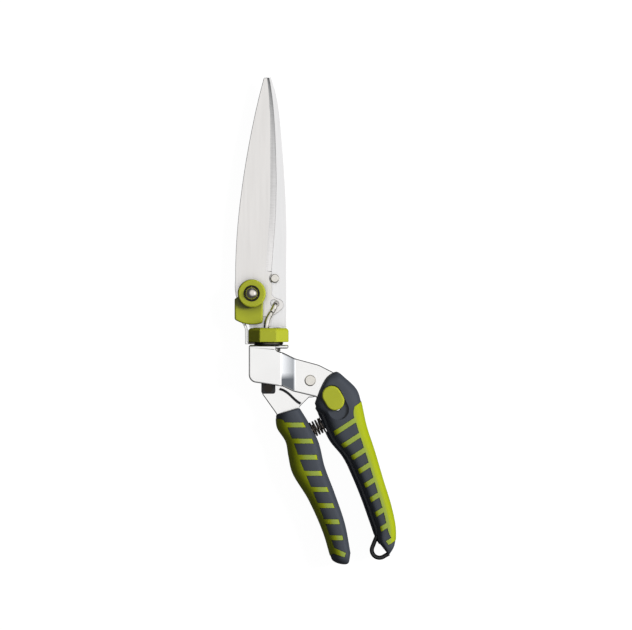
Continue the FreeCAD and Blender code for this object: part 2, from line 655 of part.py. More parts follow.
def make_left_grip():
    """Moulded left grip and its green inlay."""
    wire = left_grip_wire()
    body = grip_body(wire)
    inner = prism(wire, -GRIP_HALF_DEPTH + INLAY_DEPTH, GRIP_HALF_DEPTH - INLAY_DEPTH)
    inner.translate(Vector(2.4, 0, 0))
    pattern = left_band().fuse(left_stripes(wire))
    inlay = inlay_from(body, pattern, inner)
    grip = body.cut(inlay)
    tang = prism(lever_outline(), -LEVER_THICKNESS / 2, LEVER_THICKNESS / 2)
    pins = make_grip_pins(left_pin_places())
    grip = grip.cut(tang).cut(pins).cut(spring_pocket(-1))
    return largest(grip), inlay.cut(pins)


def make_right_grip():
    """Moulded right grip with the lock's track, and its green inlay."""
    wire = right_grip_wire()
    body = grip_body(wire)
    inner = prism(wire, -GRIP_HALF_DEPTH + INLAY_DEPTH, GRIP_HALF_DEPTH - INLAY_DEPTH)
    inner.translate(Vector(-2.4, 0, 0))
    pattern = right_band().fuse(right_stripes(wire))
    inlay = inlay_from(body, pattern, inner)
    grip = body.cut(inlay)
    reach = CHEEK_INNER_Z + SHEET + 0.05
    pocket = prism(bracket_outline(), -reach, reach).common(block(20, 90, -120, 0, -THROUGH, THROUGH))
    grip = grip.cut(pocket)
    grip = grip.cut(disc(RIVET, BOSS_R + 6, -reach, reach))
    start = LOCK_START - BUTTON_LENGTH * 0.5
    stop = LOCK_START + BUTTON_LENGTH * 0.5 + LOCK_TRAVEL
    for low, high in ((GRIP_HALF_DEPTH - TRACK_DEPTH, THROUGH), (-THROUGH, -GRIP_HALF_DEPTH + TRACK_DEPTH)):
        grip = grip.cut(stadium(start, stop, BUTTON_R + 0.5, low, high))
    grip = grip.cut(lock_slot(PIN_R + 0.4, -THROUGH, THROUGH))
    pins = make_grip_pins(right_pin_places())
    loop = make_hang_loop()
    grip = grip.cut(spring_pocket(1)).cut(pins).cut(loop)
    return largest(grip), inlay.cut(pins).cut(loop)


def largest(shape):
    """The one big solid of a shape, without slivers."""
    return max(shape.Solids, key=lambda solid: solid.Volume)


# ---------------------------------------------------------------- lock, spring, loop


def make_lock_button(sign):
    """Green sliding button in the grip's track; one on each face."""
    start = LOCK_START - BUTTON_LENGTH * 0.5
    stop = LOCK_START + BUTTON_LENGTH * 0.5
    low = GRIP_HALF_DEPTH - TRACK_DEPTH + 0.1
    button = stadium(start, stop, BUTTON_R, low, GRIP_HALF_DEPTH + 1.0)
    button = button.makeFillet(1.2, edges_where(button, lambda b: b.ZMin > GRIP_HALF_DEPTH + 0.9))
    button = button.cut(disc(LOCK_START, PIN_R, low - 1, GRIP_HALF_DEPTH - 0.4))
    if sign < 0:
        button = button.mirror(Vector(), UP)
    return button


def make_lock_pin():
    """Steel pin that joins the two buttons."""
    return disc(LOCK_START, PIN_R, -GRIP_HALF_DEPTH + 0.4, GRIP_HALF_DEPTH - 0.4)


def make_spring():
    """Compressed coil spring between the grips."""
    axis = SPRING_AXIS.normalize()
    height = SPRING_LENGTH - 2 * SPRING_WIRE_R
    pitch = height / SPRING_TURNS
    along = Vector(0, 2 * math.pi * SPRING_R, pitch).normalize()
    out = Vector(1, 0, 0)
    over = along.cross(out)
    angles = [math.pi / 5 * i for i in range(10)]
    corners = [out * (SPRING_R + SPRING_WIRE_R * math.cos(a)) + over * (SPRING_WIRE_R * math.sin(a))
               for a in angles]
    section = Part.makePolygon(corners + [corners[0]])
    spring = Part.Wire(Part.makeHelix(pitch, height, SPRING_R)).makePipeShell([section], True, True)
    spring.translate(UP * (-height / 2))
    turn = FreeCAD.Rotation(UP, axis)
    spring.Placement = FreeCAD.Placement(SPRING_MIDDLE, turn).multiply(spring.Placement)
    return spring


def make_spring_stud(sign):
    """Short steel stud that keeps one end of the spring in its place."""
    axis = SPRING_AXIS.normalize() * sign
    outer = SPRING_MIDDLE + axis * (SPRING_LENGTH / 2 + 0.1)
    return Part.makeCylinder(3.2, 3.0, outer, axis * -1)


def make_hang_loop():
    """Black loop for hanging the tool up, let into the end of the right grip."""
    first = polar(LOOP_CENTRE, LOOP_BEND_R, 158)
    bottom = polar(LOOP_CENTRE, LOOP_BEND_R, 229)
    last = polar(LOOP_CENTRE, LOOP_BEND_R, 300)
    start = first + polar(Vector(), 8.5, 68)
    stop = last + polar(Vector(), 4.4, 30)
    spine = Part.Wire([line(start, first), Part.Arc(first, bottom, last).toShape(), line(last, stop)])
    ring = Part.Wire(Part.makeCircle(LOOP_R, start, first - start))
    return spine.makePipeShell([ring], True, True)


# ---------------------------------------------------------------- all pieces


def all_pieces():
    """Every piece by name, in the making frame."""
    left_grip, left_inlay = make_left_grip()
    right_grip, right_inlay = make_right_grip()
    return {
        "main_bracket": make_main_bracket(),
        "swivel_spindle": make_spindle(),
        "spindle_ring": make_spindle_ring(),
        "swivel_washer": make_swivel_washer(),
        "pivot_rivet": make_pivot_rivet(),
        "lever_washers": make_lever_washers(),
        "right_grip": right_grip,
        "right_grip_inlay": right_inlay,
        "right_grip_pins": make_grip_pins(right_pin_places()),
        "right_spring_stud": make_spring_stud(1),
        "hang_loop": make_hang_loop(),
        "lever_plate": make_lever(),
        "left_grip": left_grip,
        "left_grip_inlay": left_inlay,
        "left_grip_pins": make_grip_pins(left_pin_places()),
        "left_spring_stud": make_spring_stud(-1),
        "return_spring": make_spring(),
        "lock_button_front": make_lock_button(1),
        "lock_button_back": make_lock_button(-1),
        "lock_pin": make_lock_pin(),
        "head_bracket": make_head_bracket(),
        "swivel_collar": make_collar(),
        "fixed_blade": make_fixed_blade(),
        "blade_rivets": make_tang_rivets(),
        "stop_stud": make_stop_stud(),
        "pivot_bolt": make_pivot_bolt(),
        "pivot_cover": make_pivot_cover(),
        "pivot_knob": make_pivot_knob(),
        "pivot_washer": make_pivot_washer(),
        "pivot_nut": make_pivot_nut(),
        "moving_blade": make_moving_blade(),
        "pull_rod": make_pull_rod(),
        "rod_clevis": make_rod_clevis(),
        "clevis_pin": make_clevis_pin(),
    }


def frame_shift(pieces):
    """Shift that puts the origin under the middle of the whole tool."""
    boxes = [shape.optimalBoundingBox(True, False) for shape in pieces.values()]
    low = Vector(*[min(getattr(box, side) for box in boxes) for side in ("XMin", "YMin", "ZMin")])
    high = Vector(*[max(getattr(box, side) for box in boxes) for side in ("XMax", "YMax", "ZMax")])
    return Vector(-(low.x + high.x) / 2, -(low.y + high.y) / 2, -low.z)


def main():
    os.makedirs("parts", exist_ok=True)
    pieces = all_pieces()
    shift = frame_shift(pieces)
    for name, shape in pieces.items():
        shape.translate(shift)
        shape.exportStep(f"parts/{name}.step")


main()
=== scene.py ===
import json
import math

import bmesh
import bpy
import numpy as np
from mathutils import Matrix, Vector


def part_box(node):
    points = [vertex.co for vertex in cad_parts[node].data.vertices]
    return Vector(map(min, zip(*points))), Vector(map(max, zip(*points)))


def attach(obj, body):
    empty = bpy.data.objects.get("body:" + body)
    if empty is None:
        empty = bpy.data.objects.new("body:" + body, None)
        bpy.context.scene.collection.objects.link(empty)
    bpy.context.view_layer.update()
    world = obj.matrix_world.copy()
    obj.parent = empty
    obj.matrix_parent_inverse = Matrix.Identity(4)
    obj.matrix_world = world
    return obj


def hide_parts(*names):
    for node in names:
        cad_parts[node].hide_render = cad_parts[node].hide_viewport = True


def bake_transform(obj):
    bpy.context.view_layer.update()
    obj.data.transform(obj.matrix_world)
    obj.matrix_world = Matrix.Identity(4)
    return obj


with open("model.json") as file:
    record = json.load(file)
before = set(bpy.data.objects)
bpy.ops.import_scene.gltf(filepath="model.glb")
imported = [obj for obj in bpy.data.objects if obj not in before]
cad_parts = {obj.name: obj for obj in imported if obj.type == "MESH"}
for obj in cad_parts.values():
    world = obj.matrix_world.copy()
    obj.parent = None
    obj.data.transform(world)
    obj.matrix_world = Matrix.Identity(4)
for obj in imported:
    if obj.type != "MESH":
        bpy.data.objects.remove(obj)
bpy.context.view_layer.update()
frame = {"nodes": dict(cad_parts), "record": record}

NODES = frame["nodes"]
MM = 0.001

# The drawing's origin is the middle of the swivel collar's lower face. Distances are in millimetres.
COLLAR_LOW, COLLAR_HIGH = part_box("swivel_collar")
HOME = Vector(((COLLAR_LOW.x + COLLAR_HIGH.x) / 2, COLLAR_LOW.y, (COLLAR_LOW.z + COLLAR_HIGH.z) / 2))


# ------------------------------------------------------------------ materials

class Shader:
    """A procedural material: a Principled shader and short calls that add nodes to it."""

    def __init__(self, name, color, rough, metal=0.0):
        self.mat = bpy.data.materials.new(name)
        self.mat.use_nodes = True
        self.tree = self.mat.node_tree
        self.nodes = self.tree.nodes
        self.bsdf = self.nodes["Principled BSDF"]
        self.set("Base Color", (*color, 1.0))
        self.set("Roughness", rough)
        self.set("Metallic", metal)
        self.coords = self.nodes.new("ShaderNodeTexCoord")
        self.height = None

    def set(self, socket, value):
        self.bsdf.inputs[socket].default_value = value

    def link(self, output, target):
        self.tree.links.new(output, target)

    def mapped(self, stretch=(1, 1, 1), turn=(0, 0, 0)):
        """Object coordinates, turned and stretched."""
        node = self.nodes.new("ShaderNodeMapping")
        node.inputs["Scale"].default_value = stretch
        node.inputs["Rotation"].default_value = turn
        self.link(self.coords.outputs["Object"], node.inputs["Vector"])
        return node.outputs["Vector"]

    def noise(self, scale, detail=3.0, stretch=(1, 1, 1), turn=(0, 0, 0)):
        node = self.nodes.new("ShaderNodeTexNoise")
        node.inputs["Scale"].default_value = scale
        node.inputs["Detail"].default_value = detail
        self.link(self.mapped(stretch, turn), node.inputs["Vector"])
        return node.outputs["Fac"]

    def cells(self, scale):
        node = self.nodes.new("ShaderNodeTexVoronoi")
        node.inputs["Scale"].default_value = scale
        self.link(self.mapped(), node.inputs["Vector"])
        return node.outputs["Distance"]

    def remap(self, value, low, high, to_low=0.0, to_high=1.0):
        """Turns the range from low to high into the range from to_low to to_high."""
        node = self.nodes.new("ShaderNodeMapRange")
        node.inputs["From Min"].default_value = low
        node.inputs["From Max"].default_value = high
        node.inputs["To Min"].default_value = to_low
        node.inputs["To Max"].default_value = to_high
        self.link(value, node.inputs["Value"])
        return node.outputs["Result"]

    def mix(self, factor, a, b):
        """Colour between a and b; each is a colour or a colour output."""
        node = self.nodes.new("ShaderNodeMix")
        node.data_type = "RGBA"
        self.link(factor, node.inputs["Factor"])
        for key, value in (("A", a), ("B", b)):
            socket = [s for s in node.inputs if s.name == key and s.type == "RGBA"][0]
            if isinstance(value, (tuple, list)):
                socket.default_value = (*value[:3], 1.0)
            else:
                self.link(value, socket)
        return [s for s in node.outputs if s.type == "RGBA"][0]

    def part(self, vector, axis):
        """One component of a vector output."""
        node = self.nodes.new("ShaderNodeSeparateXYZ")
        self.link(vector, node.inputs["Vector"])
        return node.outputs[axis]

    def place(self, axis):
        """Object coordinate along an axis."""
        return self.part(self.coords.outputs["Object"], axis)

    def facing(self, axis):
        """How much the surface faces along an axis."""
        return self.part(self.coords.outputs["Normal"], axis)

    def dark_side(self, low, high):
        """From 0 to 1 as the surface turns towards the lower left, where bright metals get a painted dark
        reflection.
        """
        node = self.nodes.new("ShaderNodeVectorMath")
        node.operation = "DOT_PRODUCT"
        node.inputs[1].default_value = DARK_SIDE
        self.link(self.coords.outputs["Normal"], node.inputs[0])
        return self.remap(node.outputs["Value"], low, high)

    def corner_shade(self, reach):
        """From 0 in corners to 1 in the open; used to paint shade into corners."""
        node = self.nodes.new("ShaderNodeAmbientOcclusion")
        node.samples = 8
        node.inputs["Distance"].default_value = reach
        return node.outputs["AO"]

    def times(self, a, b):
        """Product of two outputs."""
        node = self.nodes.new("ShaderNodeMath")
        node.operation = "MULTIPLY"
        self.link(a, node.inputs[0])
        self.link(b, node.inputs[1])
        return node.outputs[0]

    def color(self, output):
        self.link(output, self.bsdf.inputs["Base Color"])

    def rough(self, output):
        self.link(output, self.bsdf.inputs["Roughness"])

    def bump(self, value, distance, strength):
        """Adds a bump layer; distance is its height in metres."""
        node = self.nodes.new("ShaderNodeBump")
        node.inputs["Strength"].default_value = strength
        node.inputs["Distance"].default_value = distance
        self.link(value, node.inputs["Height"])
        if self.height is not None:
            self.link(self.height, node.inputs["Normal"])
        self.height = node.outputs["Normal"]
        self.link(self.height, self.bsdf.inputs["Normal"])


# Places in the frame where a material changes its tone: each is where the change starts and ends.
# Sloping wall of the main bracket, which carries a painted reflection: painted shade across its width, a
# painted bright band where it ends, and painted shade darkening downwards
WALL_X = (HOME.x + 9.0 * MM, HOME.x + 17.5 * MM)
WALL_END_X = (WALL_X[1], WALL_X[1] + 1.5 * MM)
WALL_DARK_Y = (HOME.y - 21.5 * MM, HOME.y - 26.0 * MM)
# Head bracket: painted shadow of the collar, right of its strap, on the leaf under the collar; it also
# darkens most of the back plate
LEAF_Y = (HOME.y - 1.7 * MM, HOME.y - 1.6 * MM)
LEAF_X = (HOME.x - 14.3 * MM, HOME.x - 14.0 * MM)
# Lever's plate and its raised flange; above this height the flange is painted black as the shadow between
# the cheek and the lever
FLANGE_Z = (HOME.z + 1.7 * MM, HOME.z + 2.0 * MM)
# From the rear blade's face, which is the brighter one, to the front blade
FRONT_BLADE_Z = (HOME.z - 4.55 * MM, HOME.z - 4.35 * MM)
# Bevel from the blade's middle to its tip
BEVEL_Y = (HOME.y + 60 * MM, HOME.y + 180 * MM)
# Nut's hexagon, in the knob's shade, and its dome: below this height the dark steel is near-black, which
# on the nut's hexagon is painted shade
DOME_Z = (HOME.z + 9.7 * MM, HOME.z + 11.1 * MM)
# Direction towards which metal faces get a painted dark reflection in their colour
DARK_SIDE = (-0.6, -0.8, 0.0)
BLACK, WHITE = (0, 0, 0), (1, 1, 1)


def blade_steel():
    """Stainless blade: long fine grinding marks, cross-ground on the bevel."""
    s = Shader("blade_steel", (0.80, 0.77, 0.74), 0.36, 1.0)
    along = s.noise(1.0, 4.0, (1500, 26, 400))
    across = s.noise(1.0, 4.0, (60, 1700, 400), (0, 0, 0.25))
    broad = s.noise(16.0, 2.0, (3, 0.7, 1))
    ground = s.remap(s.facing("Z"), 0.999, 0.97)
    marks = s.mix(ground, s.mix(along, BLACK, WHITE), s.mix(across, BLACK, WHITE))
    rear = s.remap(s.place("Z"), *FRONT_BLADE_Z, 1.0, 0.0)
    flat = s.mix(broad, (0.91, 0.885, 0.86), (0.85, 0.825, 0.80))
    flat = s.mix(rear, flat, (0.93, 0.92, 0.915))
    length = s.remap(s.place("Y"), *BEVEL_Y)
    pale = s.mix(across, (0.58, 0.57, 0.56), (0.76, 0.74, 0.73))
    grey = s.mix(across, (0.24, 0.24, 0.24), (0.38, 0.38, 0.38))
    s.color(s.mix(ground, flat, s.mix(length, pale, grey)))
    s.rough(s.remap(along, 0.3, 0.7, 0.30, 0.42))
    s.bump(marks, 0.00002, 0.35)
    return s.mat


def plated_steel(name, flange=False):
    """Smooth bright plated sheet with faint handling marks, a painted reflection on the sloping wall and
    a painted dark reflection on lower edges.
    With a flange, what stands above the lever's plate is painted black as shadow; the head bracket takes
    a painted shadow under the collar."""
    s = Shader(name, (0.90, 0.90, 0.91), 0.14, 1.0)
    haze = s.noise(45.0, 3.0)
    scratch = s.noise(1.0, 5.0, (900, 60, 60), (0, 0, 0.5))
    bright = s.mix(haze, (0.965, 0.955, 0.935), (0.90, 0.89, 0.875))
    # painted reflection on the sloping wall: painted shade across it and downwards, and a painted bright
    # band at its end
    wall = s.remap(s.facing("X"), 0.4, 0.5)
    shade = s.mix(s.remap(s.place("X"), *WALL_X), (0.88, 0.89, 0.91), (0.36, 0.375, 0.39))
    shade = s.mix(s.remap(s.place("Y"), *WALL_DARK_Y), shade, (0.12, 0.13, 0.145))
    shade = s.mix(s.remap(s.place("X"), *WALL_END_X), shade, (0.85, 0.86, 0.88))
    # painted shadow under the collar: the head bracket turns dark brown here
    collar_shadow = s.times(s.remap(s.place("Y"), *LEAF_Y), s.remap(s.place("X"), *LEAF_X))
    tone = s.mix(collar_shadow, s.mix(wall, bright, shade), (0.10, 0.09, 0.07))
    if flange:
        # painted shadow: the flange above the lever's plate is near-black
        tone = s.mix(s.remap(s.place("Z"), *FLANGE_Z), tone, (0.02, 0.02, 0.022))
    # painted dark reflection on faces turned to the lower left
    s.color(s.mix(s.dark_side(0.15, 0.4), tone, (0.035, 0.035, 0.038)))
    s.rough(s.remap(haze, 0.3, 0.7, 0.10, 0.2))
    s.bump(scratch, 0.000008, 0.25)
    s.bump(s.noise(260.0, 2.0), 0.00001, 0.2)
    return s.mat


def bright_hardware():
    """Polished nuts, rivets and rod, slightly warm, with a painted dark reflection on faces turned to the
    lower left.
    """
    s = Shader("bright_hardware", (0.78, 0.75, 0.69), 0.16, 1.0)
    spots = s.noise(600.0, 3.0)
    tone = s.mix(spots, (0.84, 0.81, 0.75), (0.72, 0.69, 0.63))
    # painted dark reflection on faces turned to the lower left
    s.color(s.mix(s.dark_side(0.2, 0.6), tone, (0.06, 0.05, 0.035)))
    s.rough(s.remap(spots, 0.3, 0.7, 0.10, 0.24))
    s.bump(s.noise(1800.0, 2.0), 0.00001, 0.3)
    return s.mat


def moulded(name, color, rough, grain, depth, level_face_colour=None, corner_shade=0.0):
    """Moulded plastic or rubber: fine grain, faint mottling and slightly uneven gloss.
    Faces that point straight up or down take the duller level-face colour; corners can take painted
    shade."""
    s = Shader(name, color, rough)
    mottle = s.noise(70.0, 3.0)
    fine = s.noise(grain, 2.0)
    dark = tuple(c * 0.90 for c in color)
    light = tuple(c * 1.10 for c in color)
    tone = s.mix(mottle, dark, light)
    if corner_shade:
        # painted shade in corners and under things such as the knob
        openness = s.corner_shade(corner_shade)
        tone = s.mix(s.times(openness, openness), tuple(c * 0.1 for c in color), tone)
    # faces that point straight up or down take the duller given colour
    if level_face_colour:
        level = s.facing("Z")
        flat = s.remap(s.times(level, level), 0.90, 0.985)
        tone = s.mix(flat, tone, level_face_colour)
    s.color(tone)
    s.rough(s.remap(fine, 0.3, 0.7, rough - 0.06, rough + 0.08))
    s.bump(fine, depth, 0.5)
    s.bump(s.cells(grain * 0.45), depth * 0.8, 0.3)
    return s.mat


def spring_steel():
    """Dark oiled wire with a few bright rubbed places."""
    s = Shader("spring_steel", (0.06, 0.05, 0.045), 0.3, 1.0)
    rub = s.noise(500.0, 3.0)
    s.color(s.mix(s.remap(rub, 0.5, 0.65), (0.09, 0.075, 0.065), (0.42, 0.36, 0.31)))
    s.rough(s.remap(rub, 0.3, 0.7, 0.22, 0.4))
    s.bump(s.noise(2500.0, 2.0), 0.00001, 0.4)
    return s.mat


def dark_steel():
    """Dark polished nut and pins, with a faint turned pattern; below the dome's height they are
    near-black, which on the nut's hexagon in the knob's recess is painted shade.
    """
    s = Shader("dark_steel", (0.34, 0.30, 0.26), 0.14, 1.0)
    spots = s.noise(700.0, 3.0)
    polished = s.mix(spots, (0.84, 0.80, 0.72), (0.62, 0.58, 0.52))
    # near-black below the dome: on the nut's hexagon this is painted shade from the knob's recess
    s.color(s.mix(s.remap(s.place("Z"), *DOME_Z), (0.03, 0.026, 0.022), polished))
    s.rough(s.remap(spots, 0.3, 0.7, 0.09, 0.2))
    s.bump(s.noise(1600.0, 2.0), 0.00001, 0.3)
    return s.mat


MATERIALS = {
    "blade_steel": blade_steel(),
    "plated_steel": plated_steel("plated_steel"),
    "lever_steel": plated_steel("lever_steel", True),
    "bright_hardware": bright_hardware(),
    "dark_plastic": moulded("dark_plastic", (0.034, 0.039, 0.049), 0.55, 2600.0, 0.00003),
    "green_rubber": moulded("green_rubber", (0.255, 0.30, 0.003), 0.5, 1900.0, 0.00002,
                            level_face_colour=(0.225, 0.285, 0.042)),
    # the green plastic takes painted shade near corners, such as under the knob
    "green_plastic": moulded("green_plastic", (0.30, 0.325, 0.016), 0.42, 1500.0, 0.000012,
                             corner_shade=9 * MM),
    "black_plastic": moulded("black_plastic", (0.006, 0.006, 0.007), 0.42, 1800.0, 0.00002),
    "spring_steel": spring_steel(),
    "dark_steel": dark_steel(),
}


# ------------------------------------------------------------------ mesh helpers

def add_object(name, mesh, slot, body=None, replaced=(), lining=None):
    """Links a mesh as a piece with its materials, and lets it ride on a body of the frame."""
    piece = bpy.data.objects.new(name, mesh)
    bpy.context.collection.objects.link(piece)
    if not lining:
        mesh.polygons.foreach_set("material_index", [0] * len(mesh.polygons))
    mesh.materials.clear()
    for used in (slot, lining):
        if used:
            mesh.materials.append(MATERIALS[used])
    if body:
        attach(piece, body)
    if replaced:
        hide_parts(*replaced)
    return piece


def mesh_from(points, faces, lined=()):
    """Mesh from points in drawing millimetres, with its faces turned outwards.
    The lined faces get the second material."""
    mesh = bpy.data.meshes.new("mesh")
    mesh.from_pydata([HOME + Vector(p) * MM for p in points], [], faces)
    if lined:
        for _ in range(2):
            mesh.materials.append(None)
        for i in lined:
            mesh.polygons[i].material_index = 1
    work = bmesh.new()
    work.from_mesh(mesh)
    bmesh.ops.remove_doubles(work, verts=work.verts, dist=1e-6)
    bmesh.ops.recalc_face_normals(work, faces=work.faces)
    work.to_mesh(mesh)
    work.free()
    return mesh


def block_faces(n):
    """Sides and ends of a block that has its n lower points first and its n upper points after them."""
    sides = [(i, (i + 1) % n, n + (i + 1) % n, n + i) for i in range(n)]
    return sides + [tuple(range(n)), tuple(range(n, 2 * n))]


def prism(outline, low, high):
    """Closed block over an outline given as (x, y) points."""
    points = [(x, y, z) for z in (low, high) for x, y in outline]
    return mesh_from(points, block_faces(len(outline)))


def cylinder(centre, axis, radius, low, high, count=64):
    """Closed round bar along an axis through the centre."""
    axis = Vector(axis).normalized()
    side = axis.orthogonal().normalized()
    over = axis.cross(side)
    ring = [side * math.cos(a) + over * math.sin(a)
            for a in (2 * math.pi * i / count for i in range(count))]
    points = [Vector(centre) + axis * h + r * radius for h in (low, high) for r in ring]
    return mesh_from(points, block_faces(count))


def combine(mesh, operation, *cutters):
    """Boolean of a mesh with one cutter after another."""
    for cutter in cutters:
        base = bpy.data.objects.new("base", mesh)
        tool = bpy.data.objects.new("tool", cutter)
        for item in (base, tool):
            bpy.context.collection.objects.link(item)
        change = base.modifiers.new("bool", "BOOLEAN")
        change.operation = operation
        change.solver = "MANIFOLD"
        change.object = tool
        bpy.context.view_layer.update()
        made = bpy.data.meshes.new_from_object(base.evaluated_get(bpy.context.evaluated_depsgraph_get()))
        for item in (base, tool):
            bpy.data.objects.remove(item)
        mesh = made
    return mesh


def puffed(mesh, distance):
    """Copy of a mesh with each point moved along its normal, in millimetres."""
    copy = mesh.copy()
    work = bmesh.new()
    work.from_mesh(copy)
    work.normal_update()
    moves = [(v, v.normal * distance * MM) for v in work.verts]
    for vert, move in moves:
        vert.co += move
    work.to_mesh(copy)
    work.free()
    return copy


def smooth(mesh, degrees=35):
    """Smooth shading, with edges kept sharp above an angle."""
    mesh.shade_smooth()
    mesh.set_sharp_from_angle(angle=math.radians(degrees))
    return mesh


def spline(points, steps=12):
    """Open smooth curve through the points: a centripetal Catmull-Rom spline."""
    p = np.array(points, float)
    p = np.vstack([2 * p[0] - p[1], p, 2 * p[-1] - p[-2]])
    made = []
    for a, b, c, d in zip(p, p[1:], p[2:], p[3:]):
        ab, bc, cd = (np.linalg.norm(v) ** 0.5 for v in (b - a, c - b, d - c))
        t0, t1, t2, t3 = 0.0, ab, ab + bc, ab + bc + cd
        for t in np.linspace(t1, t2, steps, endpoint=False):
            a1 = (t1 - t) / (t1 - t0) * a + (t - t0) / (t1 - t0) * b
            a2 = (t2 - t) / (t2 - t1) * b + (t - t1) / (t2 - t1) * c
            a3 = (t3 - t) / (t3 - t2) * c + (t - t2) / (t3 - t2) * d
            b1 = (t2 - t) / (t2 - t0) * a1 + (t - t0) / (t2 - t0) * a2
            b2 = (t3 - t) / (t3 - t1) * a2 + (t - t1) / (t3 - t1) * a3
            made.append((t2 - t) / (t2 - t1) * b1 + (t - t1) / (t2 - t1) * b2)
    made.append(p[-2])
    return np.array(made)


def outset(outline, distance):
    """Closed outline moved outwards, with mitred corners."""
    p = np.array(outline, float)
    area = np.sum(p[:, 0] * np.roll(p[:, 1], -1) - np.roll(p[:, 0], -1) * p[:, 1])
    turn = 1 if area > 0 else -1
    after = np.roll(p, -1, 0) - p
    after /= np.linalg.norm(after, axis=1)[:, None]
    before = np.roll(after, 1, 0)
    n1 = np.column_stack([before[:, 1], -before[:, 0]]) * turn
    n2 = np.column_stack([after[:, 1], -after[:, 0]]) * turn
    both = n1 + n2
    scale = 2 / np.maximum((both ** 2).sum(1), 0.5)
    return p + both * scale[:, None] * distance


# ------------------------------------------------------------------ grips

GRIP_HALF_DEPTH = 12.0
GRIP_END_R = 7.0         # rounding of the grips' ends in depth
GRIP_TOP_R = 1.6         # rounding of the left grip's flat top
STATIONS = 240           # steps along a grip
STRIPE_WIDTH = 3.3
SKIN = 0.3               # how far the inlays stand proud
GROOVE_GAP = 0.22        # groove round an inlay
GROOVE_DEPTH = 1.3
INLAY_DEPTH = 1.6
BEYOND = 20              # half height of a cutter that passes right through a grip

# Outlines as (x, y). The corners are the points where one smooth stretch ends and the next starts.
LEFT_SIDE = [(4.9, -50.6), (5.9, -60.0), (12.0, -70.0), (13.9, -80.0), (16.6, -91.5), (28.1, -110.8),
             (38.2, -133.6), (43.0, -149.6), (44.7, -153.3), (50.4, -155.9), (56.0, -155.4),
             (57.9, -148.0), (54.0, -127.5), (46.4, -105.0), (39.8, -87.5), (35.4, -70.0),
             (28.6, -56.7), (21.8, -45.6)]
LEFT_CORNERS = (7, 11)
LEFT_BAND = [(8.2, -53.7), (10.8, -55.0), (16.4, -67.2), (22.5, -83.3), (27.4, -95.2), (38.5, -123.0),
             (45.8, -143.6)]
LEFT_BAND_REST = [(54.2, -147.0), (53.3, -150.0), (45.2, -147.6), (43.0, -149.8), (20, -149.6),
                  (-10, -120), (-10, -53.7)]
RIGHT_SIDE = [(84.4, -149.9), (80.2, -144.6), (74.6, -137.0), (71.0, -127.4), (65.4, -111.6),
              (58.4, -94.3), (51.9, -81.0), (42.2, -68.7), (35.6, -53.2), (31.9, -43.0),
              (36.4, -31.2), (41.2, -23.6), (47.6, -20.5), (54.1, -25.0), (62.4, -33.4),
              (65.6, -43.0), (69.0, -58.8), (74.6, -76.0), (80.7, -96.6), (86.5, -115.6),
              (89.4, -131.0), (88.6, -142.5), (84.4, -149.9)]
RIGHT_CORNERS = (9, 15)
RIGHT_BAND = [(66.0, -41.0), (60.9, -44.1), (59.6, -50.0), (61.2, -56.0), (66.6, -72.8), (74.3, -97.3),
              (80.6, -118.3), (86.0, -136.5), (92.0, -139.5)]
RIGHT_BAND_REST = [(100, -130), (100, -41)]

# Stripes: the first row, the step from one to the next, their number, and how far they stop
# short of the side that faces the other grip
LEFT_ROWS = ((0, -57.8), (0, -11.25), 8)
LEFT_STRIPE_END = (-3.9, 0)
RIGHT_ROWS = ((60.2, -54.75), (3.3, -10.4), 9)
RIGHT_STRIPE_END = (6.4, 0)

LEFT_CREST = 0.64        # place of the left grip's highest line, as a share of its width
RIGHT_POWER = 3.2        # squareness of the right grip's section
LIP_WIDTH = 3.7
LIP_START, LIP_RISE = 53.5, 7.0
LIP_END, LIP_FALL = 158.0, 12.0
LIP_LINING = 17          # faces on each half of the section that take the lip's darker material


